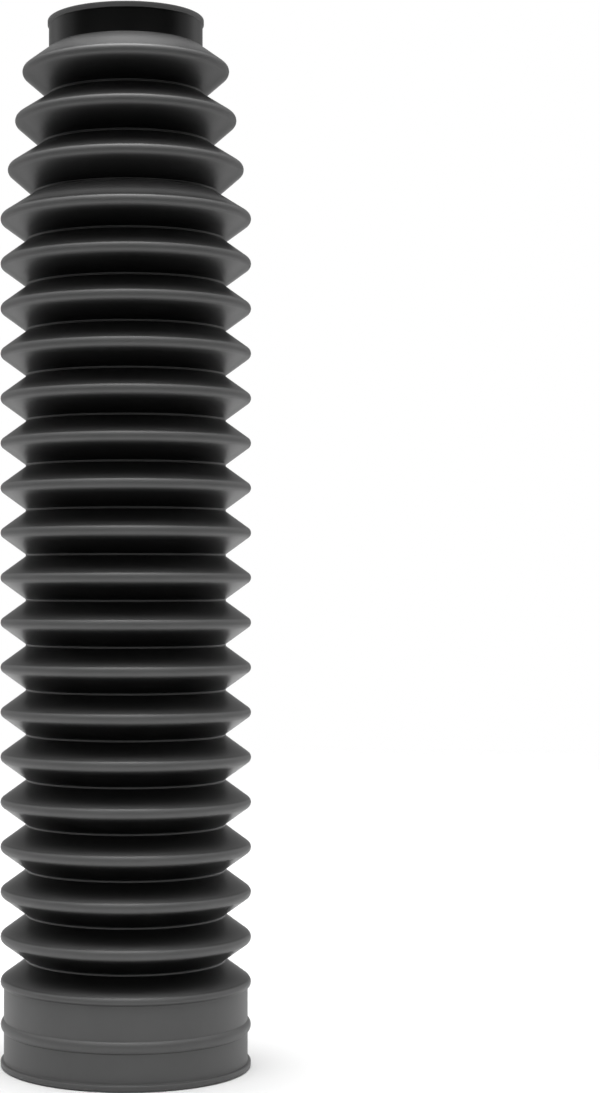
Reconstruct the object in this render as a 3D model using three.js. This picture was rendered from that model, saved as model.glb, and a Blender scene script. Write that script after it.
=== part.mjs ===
// Fork gaiter: the rubber bellows that keeps dirt off the sliding tube of a motorcycle fork.
//
// It is one moulding, round about +Z. From the top down it has a short collar that grips the
// fork tube, three folds that widen, a long run of folds of one size, and a wide cuff that
// pulls over the top of the fork's lower leg. The outline is a chain of circles: a crest circle
// and a root circle for each fold, joined by straight flanks that touch both. The inside
// follows the same circles, one wall thickness in.
//
// Millimetres, +Z up. The origin is the centre of the foot, which the gaiter stands on.

import * as THREE from "three";

// Cuff, which pulls over the fork's lower leg
const CUFF_RADIUS = 34.85;
const CUFF_WALL = 2.0;
const CUFF_TO_CREST = 23.85; // foot up to the lowest crest
const BEAD_HEIGHT = 11.65; // middle of the bead round the cuff
const BEAD_HALF_WIDTH = 1.65;
const BEAD_STAND = 0.9;
const RIM_STAND = 0.9; // how far the foot's rim stands out from the cuff
const RIM_HEIGHT = 1.6;
const RIM_ROUND = 0.3; // both edges of the rim

// Folds
const CREST_STAND = 0.95; // how far a full-size fold stands out from the cuff
const CREST_RADIUS = CUFF_RADIUS + CREST_STAND;
const CREST_ROUND = 1.75; // rounding of a crest, seen in section
const LAST_TURN = 26; // degrees that the lowest crest rounds under before it steps in to the cuff
const ROOT_ROUND = 0.5; // rounding at the bottom of a groove
const FOLD_WALL = 1.6;
const FULL_FOLDS = 18;
const FULL_PITCH = 12.79;
const FULL_DEPTH = 7.2; // crest to root
const TAPER_FOLDS = 3;
const TAPER_PITCH = 14.05;
const TAPER_DEPTH = 7.95; // mean of the crests beside a root, less that root
const TAPER_STEP = 2.08; // each fold above the full-size ones is this much smaller in radius

// Collar, which grips the fork tube
const COLLAR_RADIUS = 22.0;
const COLLAR_WALL = 2.0;
const COLLAR_LENGTH = 8.25; // top face down to the first fold
const COLLAR_RISE = 6.6; // first crest up to the collar
const COLLAR_FILLET = 0.25; // between the collar and the first fold
const LIP_STAND = 0.35; // how far the lip stands out from the collar
const LIP_HEIGHT = 1.4;
const LIP_ROUND = 0.25;

// How finely round things are drawn
const SIDES = 36; // flats round the body
const CREST_STEPS = 2;
const INNER_ROOT_CORNERS = 2;
const BEAD_STEPS = 4;
const EDGE_STEPS = 1;

const QUARTER = Math.PI / 2;

function pointOn(circle, angle) {
  return [circle.r + circle.round * Math.cos(angle), circle.z + circle.round * Math.sin(angle)];
}

// An arc in the section, from one angle to another, as points on its circle, ends included.
function arc(circle, from, to, steps) {
  const points = [];
  for (let i = 0; i <= steps; i += 1) {
    points.push(pointOn(circle, from + ((to - from) * i) / steps));
  }
  return points;
}

// An arc as the corners between flats that touch it, so that the lines beside it stay true.
function arcCorners(circle, from, to, corners) {
  const turn = (to - from) / corners;
  const wider = { ...circle, round: circle.round / Math.cos(turn / 2) };
  const points = [];
  for (let i = 0; i < corners; i += 1) {
    points.push(pointOn(wider, from + turn * (i + 0.5)));
  }
  return points;
}

// The angle at which a flank leaves a crest's circle. The flank is the straight line that
// touches the outer side of the crest's circle and the inner side of the root's.
function flankAngle(crest, root) {
  const across = root.r - crest.r;
  const up = root.z - crest.z;
  const lean = Math.acos((crest.round + root.round) / Math.hypot(across, up));
  return Math.atan2(up, across) - Math.sign(up) * lean;
}

// The radius and height of each crest, from the top down.
function crestList() {
  const crests = [];
  const topOfFull = CUFF_TO_CREST + (FULL_FOLDS - 1) * FULL_PITCH;
  for (let i = TAPER_FOLDS; i > 0; i -= 1) {
    crests.push({ tip: CREST_RADIUS - i * TAPER_STEP, z: topOfFull + i * TAPER_PITCH });
  }
  for (let i = 0; i < FULL_FOLDS; i += 1) {
    crests.push({ tip: CREST_RADIUS, z: topOfFull - i * FULL_PITCH });
  }
  return crests;
}

// The radius and height of each root: halfway between its crests, the first at the collar.
function rootList(crests) {
  const roots = [{ tip: COLLAR_RADIUS, z: crests[0].z + COLLAR_RISE, round: COLLAR_FILLET }];
  for (let i = 1; i < crests.length; i += 1) {
    const depth = i > TAPER_FOLDS ? FULL_DEPTH : TAPER_DEPTH;
    const meanTip = (crests[i - 1].tip + crests[i].tip) / 2;
    roots.push({ tip: meanTip - depth, z: (crests[i - 1].z + crests[i].z) / 2, round: ROOT_ROUND });
  }
  return roots;
}

// The crest and root circles of one face of the wall, which lies `inset` inside the outer face.
// A crest's rounding is less on the inside and a root's is more, by the wall.
function foldCircles(inset) {
  const crests = crestList();
  const roots = rootList(crests);
  return {
    crests: crests.map(({ tip, z }) => ({ r: tip - CREST_ROUND, z, round: CREST_ROUND - inset })),
    roots: roots.map(({ tip, z, round }) => ({ r: tip + round, z, round: round + inset })),
  };
}

// The outline of the folds from the collar down to the lowest crest, whose arc ends at `lastAngle`.
function foldOutline(inset, lastAngle, drawCrest, drawRoot) {
  const { crests, roots } = foldCircles(inset);
  const points = [];
  let leaving = 0; // the angle at which the line above leaves for this root
  crests.forEach((crest, i) => {
    const arriving = flankAngle(crest, roots[i]);
    points.push(...drawRoot(roots[i], leaving + Math.PI, arriving + Math.PI));
    leaving = i + 1 < crests.length ? flankAngle(crest, roots[i + 1]) : lastAngle;
    points.push(...drawCrest(crest, arriving, leaving));
  });
  return points;
}

// The collar's outside: top face, rounded lip, and the plain wall down to the first fold.
function collarOutline(topZ) {
  const lip = COLLAR_RADIUS + LIP_STAND;
  const edge = { r: lip - LIP_ROUND, z: topZ - LIP_ROUND, round: LIP_ROUND };
  return [
    ...arc(edge, QUARTER, 0, EDGE_STEPS),
    [lip, topZ - LIP_HEIGHT],
    [COLLAR_RADIUS, topZ - LIP_HEIGHT - LIP_STAND],
  ];
}

// The cuff's outside: a half-round bead, then the rim with its two rounded edges and flat foot.
function cuffOutline() {
  const beadRound = (BEAD_HALF_WIDTH ** 2 + BEAD_STAND ** 2) / (2 * BEAD_STAND);
  const bead = { r: CUFF_RADIUS + BEAD_STAND - beadRound, z: BEAD_HEIGHT, round: beadRound };
  const beadAngle = Math.asin(BEAD_HALF_WIDTH / beadRound);
  const edge = { r: CUFF_RADIUS + RIM_STAND - RIM_ROUND, round: RIM_ROUND };
  return [
    ...arc(bead, beadAngle, -beadAngle, BEAD_STEPS),
    [CUFF_RADIUS, RIM_HEIGHT],
    ...arc({ ...edge, z: RIM_HEIGHT - RIM_ROUND }, QUARTER, 0, EDGE_STEPS),
    ...arc({ ...edge, z: RIM_ROUND }, 0, -QUARTER, EDGE_STEPS),
  ];
}

// The whole closed section, down the outside and back up the inside.
function gaiterSection() {
  const topZ = crestList()[0].z + COLLAR_RISE + COLLAR_LENGTH;
  // the lowest crest rounds under a little, then a small flat step leads in to the cuff's wall
  const turnIn = (-LAST_TURN * Math.PI) / 180;
  const cuffTop = CUFF_TO_CREST + CREST_ROUND * Math.sin(turnIn);

  const outside = [
    ...collarOutline(topZ),
    ...foldOutline(
      0,
      turnIn,
      (crest, from, to) => arc(crest, from, to, CREST_STEPS),
      (root, from, to) => [pointOn(root, (from + to) / 2)],
    ),
    [CUFF_RADIUS, cuffTop],
    ...cuffOutline(),
  ];
  const inside = [
    [COLLAR_RADIUS - COLLAR_WALL, topZ],
    [COLLAR_RADIUS - COLLAR_WALL, topZ - COLLAR_LENGTH],
    ...foldOutline(
      FOLD_WALL,
      0,
      (crest, from, to) => arcCorners(crest, from, to, 1),
      (root, from, to) => arcCorners(root, from, to, INNER_ROOT_CORNERS),
    ),
    [CUFF_RADIUS - CUFF_WALL, cuffTop],
    [CUFF_RADIUS - CUFF_WALL, 0],
  ];
  return [...outside, ...inside.reverse(), outside[0]];
}

function makeGaiter() {
  const section = gaiterSection().map(([r, z]) => new THREE.Vector2(r, z));
  const geometry = new THREE.LatheGeometry(section.reverse(), SIDES);
  geometry.rotateX(QUARTER); // from three's upright Y to +Z up
  const rubber = new THREE.MeshStandardMaterial({ color: 0x141414, roughness: 0.5, metalness: 0 });
  const gaiter = new THREE.Mesh(geometry, rubber);
  gaiter.name = "gaiter";
  return gaiter;
}

const part = new THREE.Group();
part.add(makeGaiter());

export default part;
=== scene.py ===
import math

import bpy
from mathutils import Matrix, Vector


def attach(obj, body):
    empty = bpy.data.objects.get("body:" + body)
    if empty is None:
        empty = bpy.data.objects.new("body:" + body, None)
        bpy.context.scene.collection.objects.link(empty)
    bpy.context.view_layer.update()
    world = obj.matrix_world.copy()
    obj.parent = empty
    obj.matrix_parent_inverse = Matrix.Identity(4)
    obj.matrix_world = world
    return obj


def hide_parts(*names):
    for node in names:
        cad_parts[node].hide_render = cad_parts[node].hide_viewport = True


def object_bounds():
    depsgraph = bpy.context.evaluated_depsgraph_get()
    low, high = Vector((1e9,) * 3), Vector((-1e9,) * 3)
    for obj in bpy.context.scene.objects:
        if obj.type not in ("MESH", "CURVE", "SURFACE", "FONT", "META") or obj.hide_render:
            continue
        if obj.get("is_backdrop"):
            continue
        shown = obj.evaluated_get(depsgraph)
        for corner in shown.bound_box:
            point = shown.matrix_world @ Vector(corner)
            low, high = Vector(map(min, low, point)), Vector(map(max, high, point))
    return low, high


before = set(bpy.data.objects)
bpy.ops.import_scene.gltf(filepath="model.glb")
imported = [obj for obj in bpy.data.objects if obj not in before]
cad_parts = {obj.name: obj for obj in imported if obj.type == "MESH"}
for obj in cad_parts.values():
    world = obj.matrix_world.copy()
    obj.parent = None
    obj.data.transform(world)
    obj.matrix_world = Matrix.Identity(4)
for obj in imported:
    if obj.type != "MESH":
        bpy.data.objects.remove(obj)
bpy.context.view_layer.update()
scene = bpy.context.scene


# The gaiter. One moulding of black rubber, pulled off its core while warm: a short collar with
# a lip, three folds that widen, eighteen alike, and a cuff with a bead and a rim. It grips the
# fork tube by the collar and the lower leg by the cuff, with nothing else to hold it.

# crests, from the top down, as (radius, height), in metres
crest_radius = 0.0358
crest_round = 0.00175
full_folds = 18
full_pitch = 0.01279
lowest_crest = 0.02385
taper_folds = 3
taper_pitch = 0.01405
taper_step = 0.00208
full_crests = [(crest_radius, lowest_crest + full_pitch * i) for i in range(full_folds - 1, -1, -1)]
taper_crests = [
    (crest_radius - taper_step * i, full_crests[0][1] + taper_pitch * i)
    for i in range(taper_folds, 0, -1)
]
crests = taper_crests + full_crests

# roots, as (radius, height, rounding): the first is where the collar meets the first fold
full_depth = 0.0072
taper_depth = 0.00795
root_round = 0.0005
collar_radius = 0.022
collar_rise = 0.0066
collar_fillet = 0.00025
roots = [(collar_radius, crests[0][1] + collar_rise, collar_fillet)]
for above, below in zip(crests, crests[1:]):
    depth = full_depth if len(roots) > taper_folds else taper_depth
    roots.append(((above[0] + below[0]) / 2 - depth, (above[1] + below[1]) / 2, root_round))

collar_length = 0.00825
collar_top = crests[0][1] + collar_rise + collar_length
cuff_radius = 0.03485
fold_wall = 0.0016
end_wall = 0.002  # the collar's and the cuff's


def on_circle(circle, angle):
    """The point at an angle on a circle, given as (radius, height, rounding)."""
    r, z, around = circle
    return r + around * math.cos(angle), z + around * math.sin(angle)


def flank_angle(crest, root):
    """Where the straight flank between two folds leaves the crest's circle."""
    across, up = root[0] - crest[0], root[1] - crest[1]
    lean = math.acos((crest[2] + root[2]) / math.hypot(across, up))
    return math.atan2(up, across) - math.copysign(lean, up)


def towards(start, end, far):
    """The point `far` metres along the line from one point to another."""
    share = far / math.dist(start, end)
    return tuple(a + (b - a) * share for a, b in zip(start, end))


# how satin a flank is on its way down to the crest, by the distance that is left, in metres; this
# is painted light, lighter near the crest and painted shade down in the groove; the first flank is
# about half satin, a painted sheen for the overhead lamp's reflection on it, the one where the
# taper ends is fully so until near its crest, painted light where the smaller fold above shades it
# less, and from the middle of the gaiter down each flank is a little more satin than the one above
# it, painted light for the overhead light that the lower folds reflect more
taper_end = taper_folds
first_flank_painted_sheen = ((0.0079, 0.4), (0.0066, 0.52), (0.004, 0.52), (0.0018, 0.34), (0.0006, 0.15))
taper_end_flank_painted_light = ((0.009, 1.0), (0.006, 1.0), (0.0032, 1.0), (0.0018, 0.6), (0.0007, 0.28))
other_flanks_painted_light = ((0.0052, 0.0), (0.0034, 0.03), (0.0022, 0.08), (0.0012, 0.15), (0.0004, 0.23))
middle_fold = 10
painted_lighter_each_fold = 1 / 16

# a fine satin line painted along each root, as shares of the way round it: a painted highlight
# where the root's rounding catches the light; where the taper ends it runs on into the satin flank
root_painted_highlight = (0.6, 0.8)
taper_end_painted_highlight = (0.7, 1.1)

# the satin land on each crest: the tilts where it ends, above and below, in degrees, the degrees
# that each edge takes to blend, and how satin the crest still is past it
land_top, top_blend, past_top = 50, 14, 0.16
land_bottom, bottom_blend, past_bottom = -52, 18, 0.45


def fold_section(inset, last_angle, crest_steps, root_steps, fade):
    """One face of the folded wall, from the collar down, as (radius, height, satin).

    `fade` says how the satin fades out past a crest, painted shade under each crest, and is empty
    on the inside, which has none.
    """
    crest_circles = [(r - crest_round, z, crest_round - inset) for r, z in crests]
    root_circles = [(r + rnd, z, rnd + inset) for r, z, rnd in roots]
    points, leaving = [], 0.0
    for i, crest in enumerate(crest_circles):
        root = root_circles[i]
        arriving = flank_angle(crest, root)
        # the groove's bottom; the first one, at the collar, has no painted highlight line
        line_start, line_end = taper_end_painted_highlight if i == taper_end else root_painted_highlight
        for step in range(root_steps + 1):
            share = step / root_steps
            angle = leaving + (arriving - leaving) * share + math.pi
            line = 1.0 if fade and i and line_start < share < line_end else 0.0
            points.append((*on_circle(root, angle), line))
        # the flank down to the crest
        foot, edge = points[-1][:2], on_circle(crest, arriving)
        coming = {0: first_flank_painted_sheen, taper_end: taper_end_flank_painted_light}.get(i, other_flanks_painted_light)
        more = 1 + max(0, i - middle_fold) * painted_lighter_each_fold
        for far, satin_and_painted_light in coming if fade else ():
            points.append((*towards(edge, foot, far), satin_and_painted_light * more))
        # the crest, with its satin land
        end = flank_angle(crest, root_circles[i + 1]) if i + 1 < len(crests) else last_angle
        for step in range(crest_steps + 1):
            angle = arriving + (end - arriving) * step / crest_steps
            tilt = math.degrees(angle)
            upper = min(1.0, max(past_top, (land_top - tilt) / top_blend))
            lower = min(1.0, max(past_bottom, (tilt - land_bottom) / bottom_blend))
            points.append((*on_circle(crest, angle), upper * lower if fade else 0.0))
        leaving = end
        # the flank away from the crest, where the satin fades out: painted shade, darker towards
        # the root
        if i + 1 < len(crests):
            edge, foot = points[-1][:2], on_circle(root_circles[i + 1], end + math.pi)
            for far, satin_and_painted_light in fade:
                points.append((*towards(edge, foot, far), satin_and_painted_light))
    return points


# the collar's flat top, its lip, rounded above and crisper below, and the smooth wall under it
bore_edge = 0.0002  # the chamfer round the bore
lip_height = 0.0014
lip, lip_round = collar_radius + 0.00035, 0.00025
lip_edge = (lip - lip_round, collar_top - lip_round, lip_round)
edge_steps = 4
outside = [(collar_radius - end_wall + bore_edge, collar_top, 1.0)]
for step in range(edge_steps + 1):
    angle = math.pi / 2 * (1 - step / edge_steps)
    outside.append((*on_circle(lip_edge, angle), 1.0))
outside += [
    (lip, collar_top - lip_height, 1.0),
    (lip - 0.00005, collar_top - 0.0015, 1.0),
    (lip - 0.00014, collar_top - 0.00158, 0.2),
    (collar_radius, collar_top - 0.0017, 0.0),
    (collar_radius, collar_top - 0.005, 0.0),
]

# the folds; the lowest crest rounds under a little, as far as this angle
last_turn = math.radians(-26)
# how the satin fades out under each crest, by the distance from it, in metres: painted shade
underside_painted_shade = ((0.0002, 0.32), (0.0005, 0.16), (0.0009, 0.08), (0.0014, 0.03), (0.002, 0.0))
outside += fold_section(0.0, last_turn, crest_steps=12, root_steps=8, fade=underside_painted_shade)

# a small flat step leads in from there to the cuff; it isn't satin, and neither are the last of
# the crest and the first of the cuff, so that a fine dark crease of painted shade shows over the
# cuff
cuff_top = outside[-1][1]
for back, amount in ((3, 0.3), (2, 0.0), (1, 0.0)):
    outside[-back] = (*outside[-back][:2], amount)
outside += [
    (outside[-1][0] - 0.0001, cuff_top - 0.00002, 0.0),
    (cuff_radius, cuff_top - 0.00002, 0.0),
    (cuff_radius, cuff_top - 0.00012, 0.0),
    (cuff_radius, cuff_top - 0.00024, 1.0),
    (cuff_radius, 0.0165, 1.0),
]

# the bead round the cuff, with a fine dark crease of painted shade under it where it meets the wall
bead_half, bead_stand, bead_height = 0.00165, 0.0009, 0.01165
bead_round = (bead_half**2 + bead_stand**2) / (2 * bead_stand)
bead = (cuff_radius + bead_stand - bead_round, bead_height, bead_round)
bead_angle = math.asin(bead_half / bead_round)
bead_steps = 14
outside += [(cuff_radius, bead_height + bead_half + 0.0003, 1.0)]
for step in range(bead_steps + 1):
    angle = bead_angle * (1 - 2 * step / bead_steps)
    outside.append((*on_circle(bead, angle), 1.0 if step < bead_steps else 0.0))
outside += [(cuff_radius, bead_height - bead_half - 0.00022, 1.0), (cuff_radius, 0.006, 1.0)]

# the foot's rim, with a small fillet over its ledge, which is painted darker in the corner, as
# painted shade
rim, rim_round, rim_height = cuff_radius + 0.0009, 0.0003, 0.0016
fillet = 0.00035
fillet_circle = (cuff_radius + fillet, rim_height + fillet, fillet)
outside.append((cuff_radius, 0.0023, 1.0))
for step in range(edge_steps + 1):
    angle = math.pi * (1 + step / (2 * edge_steps))
    outside.append((*on_circle(fillet_circle, angle), 1.0 if step < 3 else 0.2))
for height, start in ((rim_height - rim_round, math.pi / 2), (rim_round, 0.0)):
    for step in range(edge_steps + 1):
        angle = start - math.pi / 2 * step / edge_steps
        outside.append((*on_circle((rim - rim_round, height, rim_round), angle), 1.0))

# the inside follows the same folds, one wall in, between the collar's bore and the cuff's
collar_bore, cuff_bore = collar_radius - end_wall, cuff_radius - end_wall
inside = [
    (collar_bore, collar_top - bore_edge, 0.5),
    (collar_bore, collar_top - 0.0012, 0.0),
    (collar_bore, collar_top - 0.0082, 0.0),
    *fold_section(fold_wall, 0.0, crest_steps=2, root_steps=4, fade=()),
    (cuff_bore, cuff_top, 0.0),
    (cuff_bore, 0.003, 0.0),
    (cuff_bore, 0.0003, 0.5),
    (cuff_bore + 0.0003, 0.0, 1.0),
]
section = outside + inside[::-1]

# the section turned about the gaiter's middle line
steps_round = 108
points, satin_and_painted_light, faces = [], [], []
for step in range(steps_round):
    turn = 2 * math.pi * step / steps_round
    for r, z, amount in section:
        points.append((r * math.sin(turn), -r * math.cos(turn), z))
        satin_and_painted_light.append(amount)
count = len(section)
for step in range(steps_round):
    here, after = step * count, (step + 1) % steps_round * count
    for i in range(count):
        j = (i + 1) % count
        faces.append((here + i, here + j, after + j, after + i))
gaiter_mesh = bpy.data.meshes.new("gaiter_rubber")
gaiter_mesh.from_pydata(points, [], faces)
# the satin, with its painted highlights and painted shade, kept on each point of the mesh
gaiter_mesh.attributes.new("satin_and_painted_light", "FLOAT", "POINT").data.foreach_set("value", satin_and_painted_light)
gaiter_mesh.validate()
gaiter = bpy.data.objects.new("gaiter_rubber", gaiter_mesh)
scene.collection.objects.link(gaiter)
gaiter_mesh.shade_smooth()
gaiter_mesh.set_sharp_from_angle(angle=math.radians(50))

# black rubber, left satin and greyer where the mould's halves were blasted; the same satin mask
# also carries painted light and shade: painted highlights along the roots and on some flanks,
# and painted shade in the creases and down the flanks
rubber = bpy.data.materials.new("black_moulded_rubber")
rubber.use_nodes = True
nodes, links = rubber.node_tree.nodes, rubber.node_tree.links
shader = nodes["Principled BSDF"]
place = nodes.new("ShaderNodeTexCoord")
finish_and_painted_light = nodes.new("ShaderNodeAttribute")
finish_and_painted_light.attribute_name = "satin_and_painted_light"

cloud = nodes.new("ShaderNodeTexNoise")  # slow unevenness of the bloom on the surface
cloud.inputs["Scale"].default_value = 90
cloud.inputs["Detail"].default_value = 3
links.new(place.outputs["Object"], cloud.inputs["Vector"])
grain = nodes.new("ShaderNodeTexNoise")  # the blasted mould's fine grain
grain.inputs["Scale"].default_value = 2600
grain.inputs["Detail"].default_value = 4
links.new(place.outputs["Object"], grain.inputs["Vector"])

grey = nodes.new("ShaderNodeMapRange")  # satin grey, a little lighter and darker with the bloom
grey.inputs["From Min"].default_value = 0.3
grey.inputs["From Max"].default_value = 0.7
grey.inputs["To Min"].default_value = 0.082
grey.inputs["To Max"].default_value = 0.092
links.new(cloud.outputs["Fac"], grey.inputs["Value"])
shade = nodes.new("ShaderNodeMix")
shade.data_type = "RGBA"
shade.inputs["A"].default_value = (0.0008, 0.0008, 0.0008, 1)
# the mask mixes black and satin grey into the base colour, painted light and shade included
links.new(finish_and_painted_light.outputs["Fac"], shade.inputs["Factor"])
links.new(grey.outputs["Result"], shade.inputs["B"])
links.new(shade.outputs["Result"], shader.inputs["Base Color"])

dull = nodes.new("ShaderNodeMapRange")  # polished in the grooves and dull on the satin lands
dull.inputs["To Min"].default_value = 0.3
dull.inputs["To Max"].default_value = 0.46
links.new(finish_and_painted_light.outputs["Fac"], dull.inputs["Value"])
uneven = nodes.new("ShaderNodeMath")
uneven.operation = "MULTIPLY_ADD"
uneven.inputs[1].default_value = 0.06
links.new(cloud.outputs["Fac"], uneven.inputs[0])
links.new(dull.outputs["Result"], uneven.inputs[2])
links.new(uneven.outputs["Value"], shader.inputs["Roughness"])

bump = nodes.new("ShaderNodeBump")
bump.inputs["Strength"].default_value = 0.25
bump.inputs["Distance"].default_value = 0.00002
links.new(grain.outputs["Fac"], bump.inputs["Height"])
links.new(bump.outputs["Normal"], shader.inputs["Normal"])
gaiter_mesh.materials.append(rubber)

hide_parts("gaiter")
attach(gaiter, "root")


# The floor. A pale matt sweep that the gaiter stands on: white where the light reaches it, with
# the gaiter's soft shadow, and fading out into the white around.
reach = 1.6  # from the middle to each side
below_foot = 0.0002  # so that the foot and the floor don't share a plane
floor_mesh = bpy.data.meshes.new("floor")
corners = [(-reach, -reach, 0), (reach, -reach, 0), (reach, reach, 0), (-reach, reach, 0)]
floor_mesh.from_pydata(corners, [], [(0, 1, 2, 3)])
floor = bpy.data.objects.new("floor", floor_mesh)
floor.location.z = -below_foot
scene.collection.objects.link(floor)
pale = bpy.data.materials.new("pale_floor")
pale.use_nodes = True
nodes, links = pale.node_tree.nodes, pale.node_tree.links
shader = nodes["Principled BSDF"]
shader.inputs["Base Color"].default_value = (0.76, 0.76, 0.76, 1)
shader.inputs["Roughness"].default_value = 0.9
shader.inputs["Specular IOR Level"].default_value = 0.1
place = nodes.new("ShaderNodeTexCoord")
away = nodes.new("ShaderNodeVectorMath")
away.operation = "LENGTH"
links.new(place.outputs["Object"], away.inputs[0])
fading = nodes.new("ShaderNodeMapRange")
fading.inputs["From Min"].default_value = 0.4
fading.inputs["From Max"].default_value = 1.2
fading.inputs["To Min"].default_value = 1.0
fading.inputs["To Max"].default_value = 0.0
links.new(away.outputs["Value"], fading.inputs["Value"])
links.new(fading.outputs["Result"], shader.inputs["Alpha"])
floor_mesh.materials.append(pale)
floor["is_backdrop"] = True


# The light. A tent that is dark on the camera's side and pale behind, with a white card straight
# behind the gaiter, a soft lamp overhead with a bright middle, and soft lamps round about.
world = bpy.data.worlds.new("tent")
scene.world = world
world.use_nodes = True
nodes, links = world.node_tree.nodes, world.node_tree.links
tent = nodes["Background"]
place = nodes.new("ShaderNodeTexCoord")
split = nodes.new("ShaderNodeSeparateXYZ")
links.new(place.outputs["Generated"], split.inputs["Vector"])
cloth = nodes.new("ShaderNodeMapRange")
cloth.inputs["From Min"].default_value = 0.15
cloth.inputs["From Max"].default_value = 0.55
cloth.inputs["To Min"].default_value = 0.005
cloth.inputs["To Max"].default_value = 0.38
links.new(split.outputs["Y"], cloth.inputs["Value"])
card = nodes.new("ShaderNodeMapRange")
card.inputs["From Min"].default_value = 0.97
card.inputs["From Max"].default_value = 0.99
links.new(split.outputs["Y"], card.inputs["Value"])
seen = nodes.new("ShaderNodeLightPath")
mirrored = nodes.new("ShaderNodeMath")
mirrored.operation = "MAXIMUM"
links.new(seen.outputs["Is Glossy Ray"], mirrored.inputs[0])
links.new(seen.outputs["Is Transmission Ray"], mirrored.inputs[1])
behind = nodes.new("ShaderNodeMath")
behind.operation = "MULTIPLY"
links.new(mirrored.outputs["Value"], behind.inputs[0])
links.new(card.outputs["Result"], behind.inputs[1])
white = nodes.new("ShaderNodeMath")
white.operation = "MAXIMUM"
links.new(seen.outputs["Is Camera Ray"], white.inputs[0])
links.new(behind.outputs["Value"], white.inputs[1])
show = nodes.new("ShaderNodeMix")
show.data_type = "FLOAT"
links.new(white.outputs["Value"], show.inputs["Factor"])
links.new(cloth.outputs["Result"], show.inputs["A"])
show.inputs["B"].default_value = 1.0
links.new(show.outputs["Result"], tent.inputs["Strength"])
tent.inputs["Color"].default_value = (1, 1, 1, 1)

# Each soft lamp: the way to it, in degrees round from the camera's side and up, its distance
# from the gaiter's middle, its width and height, and its brightness.
soft_lamps = [
    ("overhead", 0, 90, 2.85, 3.2, 3.2, 2.5),
    ("overhead_middle", 0, 90, 2.8, 1.5, 1.5, 9.2),
    ("left_front", -35, 44, 2.2, 1.6, 0.8, 1.25),
    ("right_front", 35, 44, 2.2, 1.6, 0.8, 1.15),
    ("left_high", -95, 50, 2.2, 1.0, 1.0, 1.5),
    ("right_high", 95, 50, 2.2, 1.0, 1.0, 1.3),
    ("left_side", -95, 18, 1.7, 0.7, 1.2, 0.38),
    ("right_side", 95, 18, 1.7, 0.7, 1.2, 0.34),
    ("left_back", -122, 18, 1.7, 0.7, 1.2, 0.45),
    ("right_back", 122, 18, 1.7, 0.7, 1.2, 0.38),
]
middle = Vector((0, 0, 0.15))
for name, around, above, far, wide, high, bright in soft_lamps:
    lamp = bpy.data.lights.new(name, "AREA")
    lamp.shape = "RECTANGLE"
    lamp.size, lamp.size_y = wide, high
    lamp.energy = bright * math.pi * wide * high
    soft = bpy.data.objects.new(name, lamp)
    around, above = math.radians(around), math.radians(above)
    level = math.cos(above)
    way = Vector((level * math.sin(around), -level * math.cos(around), math.sin(above)))
    soft.location = middle + far * way
    soft.rotation_mode = "QUATERNION"
    soft.rotation_quaternion = (-way).to_track_quat("-Z", "Y")
    scene.collection.objects.link(soft)


# The camera. It stands level in front of the gaiter at just under half its height, as the
# photograph's did, and its lens is shifted so that the gaiter falls at the left of the frame.
lens = bpy.data.cameras.new("camera")
lens.sensor_fit = "AUTO"
lens.sensor_width = 36
lens.lens = 72.05
lens.shift_x, lens.shift_y = 0.1594, 0.0313
lens.clip_start, lens.clip_end = 0.01, 50
camera = bpy.data.objects.new("camera", lens)
camera.location = (0, -0.6261, 0.1381)
camera.rotation_euler = (math.pi / 2, 0, 0)
scene.collection.objects.link(camera)
scene.camera = camera

scene.view_settings.view_transform = "Standard"

low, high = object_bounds()
